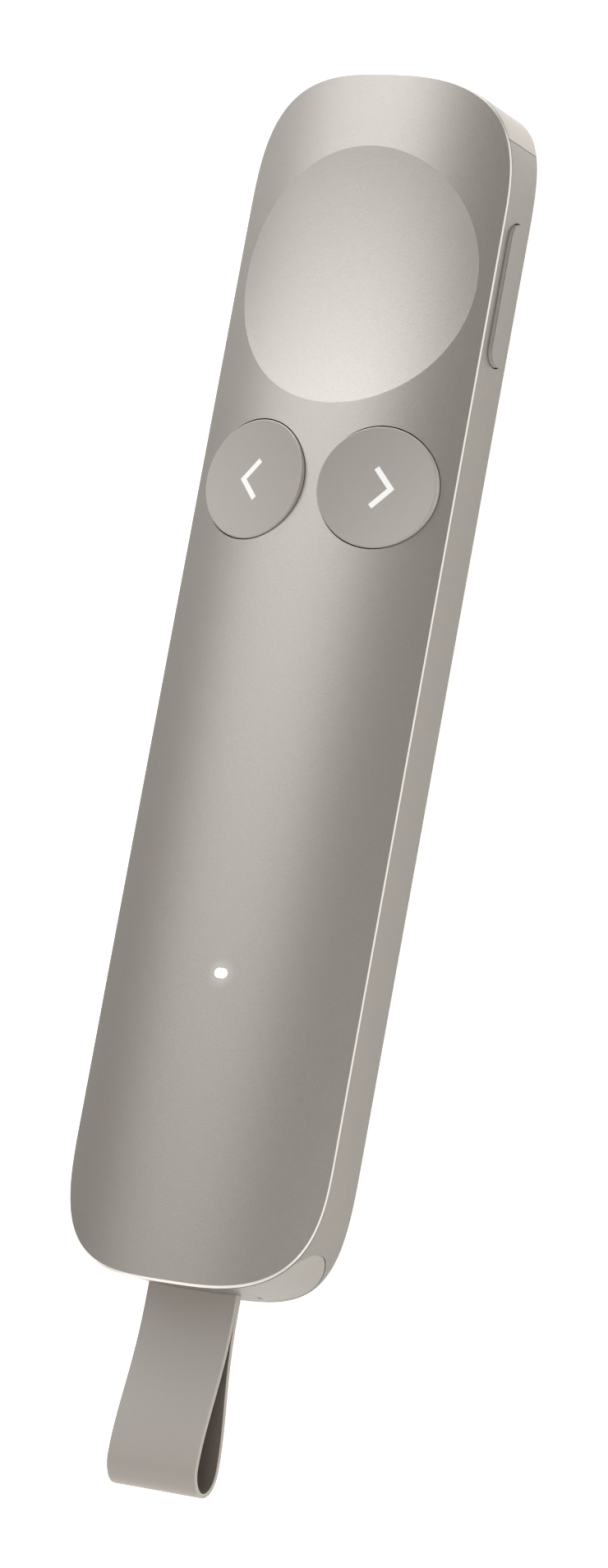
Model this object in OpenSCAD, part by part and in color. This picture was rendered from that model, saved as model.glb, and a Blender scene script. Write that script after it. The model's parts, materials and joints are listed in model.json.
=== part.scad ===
// Wireless presentation clicker with a receiver docked in its lower end.
// X runs across, Y towards the touch dish, Z out of the front face.
// The origin is the middle of the flat land along the back.

/* [Body] */
// Length of the body, end to end
body_length = 131.3; // [126:0.1:138]
// Width across the straight sides
body_width = 31.6; // [29:0.1:34]
// Height of the upright side band
band_height = 5.8; // [5.6:0.1:6.6]
// Rise of the crowned front above the band
front_rise = 3.1; // [2.9:0.1:3.4]
// Fall of the rounded back below the band
back_rise = 3.5; // [3.3:0.1:4]
// Width of the flat land along the back
land_width = 10; // [9:0.5:11]
// Length of each rounded end
end_length = 15.7; // [15:0.1:17]
// Squareness of the rounded ends, where 2 is an ellipse
end_power = 3.14; // [3:0.02:3.4]
// Wall of the rear housing and the end cap
wall = 1.2; // [1:0.05:1.3]
// Width of the rim that stands under the front shell's lip
rim_width = 0.6; // [0.5:0.05:0.8]
// Sheet thickness of the front shell
shell_wall = 1; // [0.9:0.05:1.1]
// Thickness of the front shell's lip over the housing's rim
edge_lip = 0.42; // [0.4:0.02:0.6]
// Polished chamfer around the front shell
edge_chamfer = 0.35; // [0.2:0.05:0.35]
// Seam between the front shell and the housing
seam = 0.15; // [0.1:0.01:0.2]
// Length of the end cap over the antenna
cap_length = 6.1; // [5.6:0.1:7]

/* [Touch dish] */
// Distance of the dish rim from each side of the body
dish_margin = 1.6; // [1.4:0.1:2.8]
// Depth of the dish in the middle
dish_depth = 0.85; // [0.6:0.05:1.1]
// Distance of the dish centre from the end of the body
dish_from_end = 22.4; // [22:0.1:23]

/* [Round buttons] */
// Distance of each round button from the side of the body
button_margin = 1.7; // [1.6:0.1:2.2]
// Space between the two round buttons
button_space = 2.2; // [2:0.1:2.8]
// Distance of the round buttons from the dish end of the body
button_from_end = 45.3; // [44.6:0.1:47]
// Gap around each button
button_gap = 0.2; // [0.15:0.01:0.25]
// Radius on the edge of each button
button_edge = 0.3; // [0.2:0.05:0.4]
// Height of each round button's face above the front shell
button_proud = 0.15; // [0.1:0.05:0.3]
// Travel of the round buttons
button_travel = 0.3; // [0.2:0.05:0.35]

/* [Side button] */
// Length of the side button
side_length = 15.6; // [14:0.1:17]
// Height of the side button
side_height = 3.5; // [3:0.1:3.7]
// Height of the side button's face above the band
side_proud = 0.4; // [0.3:0.05:0.6]
// Height of the side button's middle above the back
side_z = 6.1; // [5.9:0.1:6.3]
// Travel of the side button
side_travel = 0.3; // [0.2:0.05:0.35]

/* [Status light] */
// Width of the light, across the body
led_width = 1.7; // [1.4:0.1:2.2]
// Height of the light, along the body
led_height = 1.2; // [1:0.1:1.4]
// Distance of the light from the receiver end of the body
led_from_end = 32.8; // [31:0.1:36]

/* [Receiver] */
// Width of the body's wall beside the receiver
receiver_margin = 1.5; // [1.5:0.05:2.05]
// Height of the receiver's underside above the back
receiver_floor = 1.4; // [1.4:0.05:1.8]
// Radius of the receiver's lower corners
receiver_corner = 4.6; // [4.4:0.1:5]
// Radius of the receiver's upper corners
receiver_shoulder = 6; // [5.6:0.1:6.4]
// Length of the receiver without its plug
receiver_length = 14; // [13.6:0.1:15]
// Running gap around the receiver in its bay
bay_gap = 0.15; // [0.1:0.01:0.2]
// Width of the plug
plug_width = 8.25; // [8.2:0.01:8.3]
// Height of the plug
plug_height = 2.4; // [2.38:0.01:2.44]
// Length of the plug
plug_length = 6.5; // [6:0.1:6.6]

/* [Strap] */
// Width of the strap
strap_width = 10.9; // [9:0.1:12]
// Thickness of the strap
strap_thickness = 0.5; // [0.4:0.05:0.55]
// How far the strap hangs out of the receiver
strap_reach = 21.2; // [18:0.1:30]
// Depth of the strap's loop inside, at its widest
loop_depth = 3.8; // [3:0.1:5]

/* [Inside] */
// Space between the circuit board and the walls beside it
board_side_gap = 3.1; // [2.9:0.1:3.6]
// Thickness of the main circuit board
board_thickness = 0.8; // [0.7:0.05:0.9]
// Space between the battery and the bosses next to it
battery_end_gap = 0.95; // [0.6:0.05:4]
// Distance of the battery from the edges of the board
battery_inset = 3.5; // [3.4:0.1:4.5]
// Thickness of the battery
battery_thickness = 4.5; // [4:0.1:4.6]

/* [Hidden] */
$fn = 96;

// Overrun of every cut, and the gap of a piece fixed in its seat
over = 1;
fit = 0.05;

// Body: half sizes, heights and the radii of its crowns
half_w = body_width / 2;
half_l = body_length / 2;
thickness = back_rise + band_height + front_rise;
front_radius = (half_w * half_w + front_rise * front_rise) / front_rise / 2;
back_reach = half_w - land_width / 2;
back_radius = (back_reach * back_reach + back_rise * back_rise) / back_rise / 2;
parting = shell_wall + seam;
lip_width = rim_width + seam;
cap_line = half_l - cap_length;
end_steps = 24;

// Locating rails under the front shell
rail_depth = 1.2;
rail_width = 0.8;
rail_gap = 0.1;
rail_end_gap = 1.6;

// Seal in the seam, set back from the edge
seal_setback = 0.12;
seal_slack = 0.02;

// Tongue that plugs the end cap into the housing
tongue_length = 3;
tongue_wall = 0.9;
tongue_gap = 0.1;
tongue_drop = 0.3;

// Touch dish
dish_y = half_l - dish_from_end;
dish_r = half_w - dish_margin;
dish_cross_sag = thickness - crown_z(dish_r) - dish_depth;
dish_cross_radius = (dish_r * dish_r + dish_cross_sag * dish_cross_sag) / dish_cross_sag / 2;
dish_long_radius = (dish_r * dish_r + dish_depth * dish_depth) / dish_depth / 2;
dish_axis_z = thickness - dish_depth - dish_cross_radius;
dish_tool_height = 5;
dish_sweep = 60;

// Sensor under the dish and the carrier that backs it
sensor_inset = 4.2;
sensor_r = dish_r - sensor_inset;
sensor_thickness = 0.3;
carrier_inset = 2;
carrier_width = 2 * (sensor_r - carrier_inset);
carrier_length = 14;
carrier_thickness = 0.8;
carrier_rise = 1.1;
carrier_leg = 1.6;

// Circuit board, and the board's seat above the battery and its pad
pad_seat = 0.4;
battery_floor = wall + pad_seat;
board_width = body_width - 2 * (wall + board_side_gap);
board_gap = 0.3;
board_z = battery_floor + battery_thickness + board_gap;
board_top = board_z + board_thickness;
board_corner = 3;
board_end_gap = 0.3;
board_top_gap = 8;

// Round buttons
button_y = half_l - button_from_end;
button_r = (half_w - button_margin - button_space / 2) / 2;
button_x = button_r + button_space / 2;
button_hole_r = button_r + button_gap;
button_tilt = asin(button_x / front_radius);
button_floor_gap = 0.65;
button_floor = board_top + button_floor_gap;
button_rim_slack = 0.08;
flange_lip = 0.45;
flange_gap = 0.15;
flange_side_gap = 0.2;
pocket_r = 3.4;
pocket_depth = 1;
post_r = 1;
icon_depth = 0.3;
icon_stroke = 0.5;
icon_tip = 1.6;
icon_back = 0.45;
icon_rise = 2.2;

// Switches under the round buttons
switch_side = 4;
switch_height = 0.7;
switch_base = 0.1;
plunger_r = 0.9;
plunger_gap = 0.06;
plunger_height = 1;
plunger_top = board_top + plunger_height;
plunger_clear = 0.05;

// Side button, its slot and its switch under the board
side_y = dish_y;
side_edge = 0.3;
side_flange = 0.8;
side_flange_wall = 0.6;
side_flange_gap = 0.15;
side_stem_length = 6;
side_stem_height = 1.8;
side_switch_width = 3;
side_switch_length = 4.7;
side_switch_height = 1.5;
side_switch_inset = 0.1;
side_plunger_r = 0.5;
side_plunger_reach = 0.9;

// Light pipe and its emitter
led_y = led_from_end - half_l;
lens_gap = 0.05;
lens_flange = 0.45;
lens_flange_height = 0.6;
emitter_width = 1.6;
emitter_length = 0.8;
emitter_height = 0.6;
emitter_gap = 0.3;

// Bosses and screws that hold the board
boss_r = 1.5;
boss_inset = 3.5;
boss_x = board_width / 2 - boss_inset;
screw_r = 0.6;
screw_gap = 0.05;
screw_length = 3;
screw_head_r = 1.25;
screw_head_height = 0.7;
board_hole_gap = 0.15;
boss_socket_gap = 0.2;
boss_mid_from_button = 9.6;
boss_top_from_dish = 8.2;
boss_mid_y = button_y - boss_mid_from_button;

// Receiver bay
bay_back = receiver_length + bay_gap - half_l;
bay_wall = 1.2;
receiver_back = receiver_length - half_l;
receiver_width = body_width - 2 * receiver_margin;
shoulder_rise = 0.2;

// Socket that the plug parks in
socket_wall = 0.3;
socket_gap = 0.045;
socket_length = 7.3;
socket_window_gap = 0.1;
tongue_board_width = 6.6;
tongue_board_height = 0.7;
tongue_board_length = 5.4;
plug_wall = 0.3;
plug_slot_gap = 0.12;
plug_slot_end_gap = 0.5;
plug_z = board_z - plug_height / 2 - socket_gap - socket_wall;
socket_width = plug_width + 2 * (socket_gap + socket_wall);
socket_height = plug_height + 2 * (socket_gap + socket_wall);

// Board pocket, board and base inside the receiver
receiver_side_wall = 3.25;
receiver_pocket_width = receiver_width - 2 * receiver_side_wall;
receiver_pocket_height = 4;
receiver_pocket_depth = 8.4;
receiver_pocket_z = 3;
base_thickness = 1.2;
receiver_board_thickness = 0.8;
receiver_board_gap = 0.2;
receiver_chip_side = 4.5;
receiver_chip_height = 0.8;

// Strap, its mouth and its pin
strap_z = 5.95;
mouth_side_gap = 1.55;
mouth_width = strap_width + 2 * mouth_side_gap;
mouth_height = 3.5;
mouth_corner = 1.2;
mouth_drop = 0.65;
mouth_depth = 4.2;
pin_r = 0.6;
pin_gap = 0.05;
pin_seat = 1.5;
pin_half_length = mouth_width / 2 + pin_seat;
pin_depth = 2.6;
bend_reach = 3.1;
leg_steps = 14;
bend_steps = 16;
gap_start_share = 0.2;

// Battery and what connects it
battery_from_bay = 13.6;
battery_y0 = bay_back + bay_wall + battery_from_bay;
battery_length = boss_mid_y - boss_r - battery_end_gap - battery_y0;
battery_width = board_width - 2 * battery_inset;
battery_edge = 1;
pad_width = 9;
pad_end_gap = 3;
pad_slack = 0.05;
connector_width = 6;
connector_length = 3.4;
connector_height = 1.5;
connector_gap = 1.8;
lead_r = 0.45;
lead_spacing = 2;

// Chips, shield and motor on the board
shield_side = 14;
shield_height = 1.6;
shield_wall = 0.2;
shield_from_buttons = 18.85;
shield_y = button_y - shield_from_buttons;
radio_side = 6;
radio_height = 0.9;
motor_r = 4;
motor_height = 2.6;
motor_gap = 1;
motor_y = led_y - emitter_length / 2 - motor_gap - motor_r;
motion_width = 3;
motion_length = 2.5;
motion_height = 0.9;
power_side = 3;
power_height = 0.8;
chip_spacing = 7;
chip_gap = 1;
chip_y = shield_y - shield_side / 2 - chip_gap - power_side / 2;
antenna_width = 8;
antenna_length = 2.4;
antenna_height = 1.2;
antenna_from_edge = 0.4;

// Board ends
board_y0 = bay_back + bay_wall + board_end_gap;
board_y1 = half_l - board_top_gap;

// Height of the crowned front at x, taken down square to its face
function crown_z(x, inset = 0) =
    thickness - front_radius + sqrt(pow(front_radius - inset, 2) - x * x);

// Height of the rounded back at x, taken in square to its face
function back_z(x, inset = 0) =
    let (reach = max(0, abs(x) - land_width / 2))
    back_radius - sqrt(pow(back_radius - inset, 2) - reach * reach);

// One quarter of the plan outline, moved in square to itself
function quarter(inset) = [
    for (i = [0 : end_steps])
    let (
        c = cos(90 * i / end_steps),
        s = sin(90 * i / end_steps),
        nx = pow(c, 2 - 2 / end_power) / half_w,
        ny = pow(s, 2 - 2 / end_power) / end_length,
        n = norm([nx, ny])
    )
    [
        half_w * pow(c, 2 / end_power) - inset * nx / n,
        half_l - end_length + end_length * pow(s, 2 / end_power) - inset * ny / n
    ]
];

// The whole plan outline, counterclockwise
function outline(inset) =
    let (q = quarter(inset))
    concat(
        [for (i = [0 : end_steps]) q[i]],
        [for (i = [end_steps - 1 : -1 : 0]) [-q[i][0], q[i][1]]],
        [for (i = [0 : end_steps]) [-q[i][0], -q[i][1]]],
        [for (i = [end_steps - 1 : -1 : 0]) [q[i][0], -q[i][1]]]
    );

// The plan outline as a tall block
module outline_prism(inset) {
    translate([0, 0, -over])
        linear_extrude(thickness + 2 * over)
            polygon(outline(inset));
}

// Everything below the crowned front
module crown_rod(inset) {
    translate([0, 0, thickness - front_radius])
        rotate([90, 0, 0])
            cylinder(r = front_radius - inset, h = body_length + 2 * over, center = true, $fn = 180);
}

// Everything above the rounded back
module back_bar(inset) {
    rotate([90, 0, 0])
        linear_extrude(body_length + 2 * over, center = true)
            union() {
                for (side = [-1, 1])
                    translate([side * land_width / 2, back_radius])
                        circle(back_radius - inset, $fn = 180);
                translate([-land_width / 2, inset])
                    square([land_width, thickness + over]);
            }
}

// Room under the front shell, with the rim standing up under its lip
module shell_room(gap) {
    difference() {
        crown_rod(edge_lip + seam);
        difference() {
            outline_prism(rim_width);
            crown_rod(parting + gap);
        }
    }
}

module y_slab(y0, y1) {
    translate([-body_width, y0, -over])
        cube([2 * body_width, y1 - y0, thickness + 2 * over]);
}

module body_space(side_inset, back_inset) {
    intersection() {
        outline_prism(side_inset);
        back_bar(back_inset);
    }
}

// A flat shape with round ends, its long way along x
module pill(length, height) {
    square([length - height, height], center = true);
    for (side = [-1, 1])
        translate([side * (length - height) / 2, 0])
            circle(d = height);
}

module rounded_rect(length, height, corner) {
    square([length - 2 * corner, height], center = true);
    square([length, height - 2 * corner], center = true);
    for (side = [-1, 1], end = [-1, 1])
        translate([side * (length / 2 - corner), end * (height / 2 - corner)])
            circle(corner);
}

// Half section of a disc with a round outer edge, its top at zero
module edge_profile(reach, depth, edge) {
    translate([0, -depth])
        square([reach, depth - edge]);
    translate([0, -depth])
        square([reach - edge, depth]);
    translate([reach - edge, -edge])
        intersection() {
            circle(edge);
            square(edge);
        }
}

// Extrudes a shape drawn in Y and Z along X
module along_x(x0, x1) {
    translate([x0, 0, 0])
        rotate([90, 0, 90])
            linear_extrude(x1 - x0)
                children();
}

// Extrudes a shape drawn in X and Z along Y
module along_y(y0, y1) {
    translate([0, y1, 0])
        rotate([90, 0, 0])
            linear_extrude(y1 - y0)
                children();
}

module box(width, length, height) {
    translate([-width / 2, -length / 2, 0])
        cube([width, length, height]);
}

// Ring that shaves the polished chamfer off the shell's edge
module chamfer_ring() {
    edge = outline(0);
    line = outline(edge_chamfer);
    far = outline(-over);
    count = len(edge);
    points = concat(
        [for (i = [0 : count - 1])
            let (low = [edge[i][0], edge[i][1], crown_z(edge[i][0]) - edge_chamfer],
                 high = [line[i][0], line[i][1], crown_z(line[i][0])])
            2 * high - low],
        [for (i = [0 : count - 1])
            let (low = [edge[i][0], edge[i][1], crown_z(edge[i][0]) - edge_chamfer],
                 high = [line[i][0], line[i][1], crown_z(line[i][0])])
            2 * low - high],
        [for (p = far) [p[0], p[1], crown_z(min(abs(p[0]), half_w)) + over]]
    );
    faces = concat(
        [for (k = [0 : 2], i = [0 : count - 1])
            let (j = (i + 1) % count, m = (k + 1) % 3)
            [k * count + i, m * count + j, k * count + j]],
        [for (k = [0 : 2], i = [0 : count - 1])
            let (j = (i + 1) % count, m = (k + 1) % 3)
            [k * count + i, m * count + i, m * count + j]]
    );
    polyhedron(points, faces);
}

// Profile of the dish between two depths under its face, swept across the body
module dish_layer(near, far) {
    centre = dish_cross_radius + dish_long_radius;
    translate([0, dish_y, dish_axis_z])
        rotate([90, 0, 0])
            rotate([0, 0, 90 - dish_sweep / 2])
                rotate_extrude(angle = dish_sweep, $fn = 180)
                    intersection() {
                        difference() {
                            translate([centre, 0])
                                circle(dish_long_radius + far, $fn = 360);
                            if (near > -over)
                                translate([centre, 0])
                                    circle(dish_long_radius + near, $fn = 360);
                        }
                        translate([dish_cross_radius - 2 * over - far, -dish_r - over])
                            square([dish_tool_height, 2 * (dish_r + over)]);
                    }
}

// Rails that hang from the shell and locate it in the housing. The one
// beside the dish is on the left only, clear of the side button.
module shell_rails() {
    low = bay_back + bay_wall + rail_end_gap;
    mid = button_y - button_hole_r - rail_end_gap;
    high = button_y + button_hole_r + rail_end_gap;
    intersection() {
        difference() {
            outline_prism(wall + rail_gap);
            outline_prism(wall + rail_gap + rail_width);
        }
        difference() {
            crown_rod(shell_wall / 2);
            crown_rod(shell_wall + rail_depth);
        }
        union() {
            y_slab(low, mid);
            intersection() {
                y_slab(high, cap_line - tongue_length - rail_end_gap);
                translate([-half_w - over, -half_l, -over])
                    cube([half_w + over, body_length, thickness + 2 * over]);
            }
        }
    }
}

module front_shell() {
    color("#b0aaa3")
        difference() {
            union() {
                intersection() {
                    crown_rod(0);
                    union() {
                        difference() {
                            outline_prism(0);
                            crown_rod(edge_lip);
                        }
                        difference() {
                            outline_prism(lip_width);
                            crown_rod(shell_wall);
                        }
                        intersection() {
                            outline_prism(lip_width);
                            dish_layer(-over, shell_wall);
                        }
                    }
                }
                shell_rails();
            }
            dish_layer(-over, 0);
            chamfer_ring();
            for (side = [-1, 1])
                translate([side * button_x, button_y, back_rise])
                    cylinder(r = button_hole_r, h = thickness);
            translate([0, led_y, back_rise])
                linear_extrude(thickness)
                    pill(led_width, led_height);
        }
}

// Thin gasket that shows as the dark line under the chamfer
module edge_seal() {
    color("#2c2a28")
        intersection() {
            difference() {
                outline_prism(seal_setback);
                outline_prism(rim_width);
            }
            difference() {
                crown_rod(edge_lip + seal_slack);
                crown_rod(edge_lip + seam - seal_slack);
            }
        }
}

// Section of the receiver, or of its bay with a gap around it
module bay_section(gap) {
    low = receiver_floor - gap;
    high = thickness + shoulder_rise + gap;
    intersection() {
        translate([0, low + thickness])
            rounded_rect(receiver_width + 2 * gap, 2 * thickness, receiver_corner + gap);
        translate([0, high - thickness])
            rounded_rect(receiver_width + 2 * gap, 2 * thickness, receiver_shoulder + gap);
    }
}

module boss_places() {
    for (side = [-1, 1], y = [
        bay_back + socket_length + boss_socket_gap + boss_r,
        boss_mid_y,
        dish_y + boss_top_from_dish
    ])
        translate([side * boss_x, y, 0])
            children();
}

module rear_housing() {
    color("#a39c94") {
        difference() {
            intersection() {
                body_space(0, 0);
                shell_room(0);
                y_slab(-half_l - over, cap_line);
            }
            intersection() {
                body_space(wall, wall);
                y_slab(bay_back + bay_wall, half_l);
            }
            along_y(-half_l - over, bay_back)
                bay_section(bay_gap);
            along_y(bay_back - over, bay_back + bay_wall + over)
                translate([0, plug_z])
                    pill(socket_width + 2 * socket_window_gap, socket_height + 2 * socket_window_gap);
            along_x(half_w - wall - over, half_w + over)
                translate([side_y, side_z])
                    pill(side_length + 2 * button_gap, side_height + 2 * button_gap);
        }
        boss_places()
            translate([0, 0, back_z(boss_x, wall / 2)])
                difference() {
                    cylinder(r = boss_r, h = board_z - back_z(boss_x, wall / 2));
                    translate([0, 0, board_z - back_z(boss_x, wall / 2) - screw_length])
                        cylinder(r = screw_r + screw_gap, h = screw_length + over);
                }
    }
}

// Plastic end cap that the antenna radiates through
module top_cap() {
    color("#a8a199")
        difference() {
            union() {
                intersection() {
                    body_space(0, 0);
                    shell_room(0);
                    y_slab(cap_line, half_l + over);
                }
                intersection() {
                    body_space(wall + tongue_gap, wall + tongue_gap);
                    crown_rod(parting + tongue_drop);
                    y_slab(cap_line - tongue_length, cap_line + tongue_length);
                }
            }
            intersection() {
                body_space(wall + tongue_gap + tongue_wall, wall + tongue_gap + tongue_wall);
                y_slab(cap_line - tongue_length - over, half_l + over);
            }
        }
}

// Frame of one round button: face centre, tilted to follow the crown
module button_frame(side) {
    translate([side * button_x, button_y, crown_z(button_x) + button_proud])
        rotate([0, side * button_tilt, 0])
            children();
}

// A chevron that points away from the middle
module chevron(side) {
    arm = norm([icon_tip + icon_back, icon_rise]);
    nx = icon_rise / arm * icon_stroke / 2;
    ny = (icon_tip + icon_back) / arm * icon_stroke / 2;
    point = icon_stroke / 2 * arm / icon_rise;
    corners = [
        [icon_tip + point, 0],
        [nx - icon_back, icon_rise + ny],
        [-nx - icon_back, icon_rise - ny],
        [icon_tip - point, 0],
        [-nx - icon_back, ny - icon_rise],
        [nx - icon_back, -icon_rise - ny]
    ];
    polygon([for (p = corners) [side * p[0], p[1]]]);
}

module round_icon(side) {
    color("#f0eeea")
        button_frame(side)
            translate([0, 0, -icon_depth])
                linear_extrude(icon_depth)
                    chevron(side);
}

module round_button(side) {
    ceiling = button_floor + pocket_depth;
    color("#ada6a0") {
        difference() {
            union() {
                intersection() {
                    translate([side * button_x, button_y, button_floor])
                        cylinder(r = button_r, h = thickness);
                    button_frame(side)
                        rotate_extrude()
                            edge_profile(button_r + button_rim_slack, thickness / 2, button_edge);
                }
                intersection() {
                    translate([side * button_x, button_y, button_floor])
                        cylinder(r = button_hole_r + flange_lip, h = thickness);
                    crown_rod(shell_wall + flange_gap);
                    translate([-half_w + wall + flange_side_gap, button_y - 2 * button_r, 0])
                        cube([body_width - 2 * (wall + flange_side_gap), 4 * button_r, thickness]);
                }
            }
            translate([side * button_x, button_y, button_floor - over])
                cylinder(r = pocket_r, h = over + pocket_depth);
            button_frame(side)
                translate([0, 0, -icon_depth])
                    linear_extrude(icon_depth + over)
                        chevron(side);
        }
        translate([side * button_x, button_y, plunger_top])
            cylinder(r = post_r, h = ceiling - plunger_top + fit);
    }
}

// Switch body on the board, with the bore that its plunger runs in
module round_switch(side) {
    color("#3a3a3c")
        translate([side * button_x, button_y, board_top])
            difference() {
                box(switch_side, switch_side, switch_height);
                translate([0, 0, switch_base])
                    cylinder(r = plunger_r + plunger_gap, h = switch_height);
            }
}

module round_plunger(side) {
    low = board_top + switch_base + button_travel + plunger_clear;
    color("#e6e2da")
        translate([side * button_x, button_y, low])
            cylinder(r = plunger_r, h = plunger_top - low);
}

module prev_button() { round_button(-1); }
module next_button() { round_button(1); }
module prev_icon() { round_icon(-1); }
module next_icon() { round_icon(1); }
module prev_switch() { round_switch(-1); }
module next_switch() { round_switch(1); }
module prev_plunger() { round_plunger(-1); }
module next_plunger() { round_plunger(1); }

side_flange_x = half_w - wall - side_flange_gap;
side_stem_x = side_flange_x - side_flange_wall;
side_switch_x = board_width / 2 - side_switch_inset;
side_contact_x = side_switch_x + side_plunger_reach;
side_switch_z = board_z - side_switch_height / 2;

// Pill button with a rounded rim, a flange behind the band and a stem
module side_button() {
    color("#a8a29a")
        union() {
            translate([half_w + side_proud, side_y, side_z])
                rotate([90, 0, 90]) {
                    for (end = [-1, 1])
                        translate([end * (side_length - side_height) / 2, 0, 0])
                            rotate_extrude()
                                edge_profile(side_height / 2, half_w + side_proud - side_flange_x, side_edge);
                    rotate([90, 0, 90])
                        linear_extrude(side_length - side_height, center = true)
                            for (side = [0, 1])
                                mirror([side, 0])
                                    edge_profile(side_height / 2, half_w + side_proud - side_flange_x, side_edge);
                }
            intersection() {
                along_x(side_stem_x, side_flange_x)
                    translate([side_y, side_z])
                        pill(side_length + 2 * side_flange, side_height + 2 * side_flange);
                back_bar(wall + side_flange_gap);
            }
            translate([side_contact_x, side_y - side_stem_length / 2, side_switch_z - side_stem_height / 2])
                cube([side_stem_x - side_contact_x + fit, side_stem_length, side_stem_height]);
        }
}

module side_switch() {
    color("#3a3a3c")
        difference() {
            translate([side_switch_x - side_switch_width, side_y - side_switch_length / 2, board_z - side_switch_height])
                cube([side_switch_width, side_switch_length, side_switch_height]);
            along_x(side_switch_x - side_plunger_reach, side_switch_x + over)
                translate([side_y, side_switch_z])
                    circle(side_plunger_r + plunger_gap);
        }
}

module side_plunger() {
    color("#e6e2da")
        along_x(side_switch_x - side_plunger_reach + side_travel + plunger_clear, side_contact_x)
            translate([side_y, side_switch_z])
                circle(side_plunger_r);
}

// Light pipe from the emitter to the front face
module led_lens() {
    color("#f6f4ee")
        translate([0, led_y, 0])
            union() {
                intersection() {
                    translate([0, 0, board_top + emitter_height + emitter_gap])
                        linear_extrude(thickness)
                            pill(led_width - 2 * lens_gap, led_height - 2 * lens_gap);
                    crown_rod(0);
                }
                intersection() {
                    translate([0, 0, thickness - shell_wall - lens_flange_height])
                        linear_extrude(lens_flange_height)
                            pill(led_width + 2 * lens_flange, led_height + 2 * lens_flange);
                    crown_rod(shell_wall + fit);
                }
            }
}

module status_led() {
    color("#fffbe8")
        translate([0, led_y, board_top])
            box(emitter_width, emitter_length, emitter_height);
}

// Pressure sensor that follows the underside of the dish
module touch_sensor() {
    color("#b9782f")
        intersection() {
            translate([0, dish_y, 0])
                cylinder(r = sensor_r, h = thickness);
            dish_layer(shell_wall + fit, shell_wall + fit + sensor_thickness);
        }
}

module sensor_carrier() {
    color("#4a4a4c")
        translate([0, dish_y, board_top]) {
            translate([0, 0, carrier_rise])
                box(carrier_width, carrier_length, carrier_thickness);
            for (side = [-1, 1], end = [-1, 1])
                translate([side * (carrier_width - carrier_leg) / 2, end * (carrier_length - carrier_leg) / 2, 0])
                    box(carrier_leg, carrier_leg, carrier_rise + fit);
        }
}

module main_pcb() {
    color("#2d5a41")
        difference() {
            translate([0, (board_y0 + board_y1) / 2, board_z])
                linear_extrude(board_thickness)
                    rounded_rect(board_width, board_y1 - board_y0, board_corner);
            boss_places()
                translate([0, 0, board_z - over])
                    cylinder(r = screw_r + board_hole_gap, h = board_thickness + 2 * over);
        }
}

// Six screws that clamp the board to the bosses
module frame_screws() {
    color("#c9c9cc")
        boss_places()
            union() {
                translate([0, 0, board_top])
                    cylinder(r = screw_head_r, h = screw_head_height);
                translate([0, 0, board_z - screw_length + screw_gap])
                    cylinder(r = screw_r, h = board_thickness + screw_length);
            }
}

module radio_chip() {
    color("#1f1f21")
        translate([0, shield_y, board_top])
            box(radio_side, radio_side, radio_height);
}

module shield_can() {
    color("#cfd0d2")
        translate([0, shield_y, board_top])
            difference() {
                box(shield_side, shield_side, shield_height);
                translate([0, 0, -over])
                    box(shield_side - 2 * shield_wall, shield_side - 2 * shield_wall, shield_height + over - shield_wall);
            }
}

module haptic_motor() {
    color("#d4d3d0")
        translate([0, motor_y, board_top])
            cylinder(r = motor_r, h = motor_height);
}

module motion_sensor() {
    color("#1f1f21")
        translate([-chip_spacing / 2, chip_y, board_top])
            box(motion_width, motion_length, motion_height);
}

module power_chip() {
    color("#1f1f21")
        translate([chip_spacing / 2, chip_y, board_top])
            box(power_side, power_side, power_height);
}

module antenna() {
    color("#e9e4d6")
        translate([0, board_y1 - antenna_from_edge - antenna_length / 2, board_top])
            box(antenna_width, antenna_length, antenna_height);
}

module battery() {
    color("#b8bcc2")
        along_y(battery_y0, battery_y0 + battery_length)
            translate([0, battery_floor + battery_thickness / 2])
                rounded_rect(battery_width, battery_thickness, battery_edge);
}

module battery_pad() {
    color("#f2f0e6")
        translate([0, battery_y0 + battery_length / 2, wall])
            box(pad_width, battery_length - 2 * pad_end_gap, battery_floor - wall - pad_slack);
}

connector_y = battery_y0 - connector_gap - connector_length / 2;
lead_z = board_z - connector_height / 2;

module battery_connector() {
    color("#efe9dc")
        translate([0, connector_y, board_z - connector_height])
            box(connector_width, connector_length, connector_height);
}

module battery_leads() {
    color("#b3261e")
        for (side = [-1, 1])
            translate([side * lead_spacing / 2, battery_y0, lead_z])
                rotate([90, 0, 0])
                    cylinder(r = lead_r, h = connector_gap);
}

// Steel socket shell, closed behind its tongue
module usb_socket() {
    color("#c9c9cc")
        difference() {
            along_y(bay_back, bay_back + socket_length)
                translate([0, plug_z])
                    pill(socket_width, socket_height);
            along_y(bay_back - over, bay_back + socket_length - socket_wall)
                translate([0, plug_z])
                    pill(plug_width + 2 * socket_gap, plug_height + 2 * socket_gap);
        }
}

module usb_tongue() {
    back = bay_back + socket_length - socket_wall;
    color("#1b1b1d")
        translate([-tongue_board_width / 2, back - tongue_board_length, plug_z - tongue_board_height / 2])
            cube([tongue_board_width, tongue_board_length, tongue_board_height]);
}

// Receiver: its end face completes the end of the body
module receiver_housing() {
    color("#a8a199")
        difference() {
            intersection() {
                along_y(-half_l - over, receiver_back)
                    bay_section(0);
                outline_prism(0);
                shell_room(bay_gap);
            }
            along_y(-half_l - over, mouth_depth - half_l)
                translate([0, strap_z - mouth_drop])
                    rounded_rect(mouth_width, mouth_height, mouth_corner);
            along_x(-pin_half_length, pin_half_length)
                translate([pin_depth - half_l, strap_z])
                    circle(pin_r);
            translate([0, receiver_back - receiver_pocket_depth / 2, receiver_pocket_z])
                box(receiver_pocket_width, receiver_pocket_depth + fit, receiver_pocket_height);
        }
}

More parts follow.
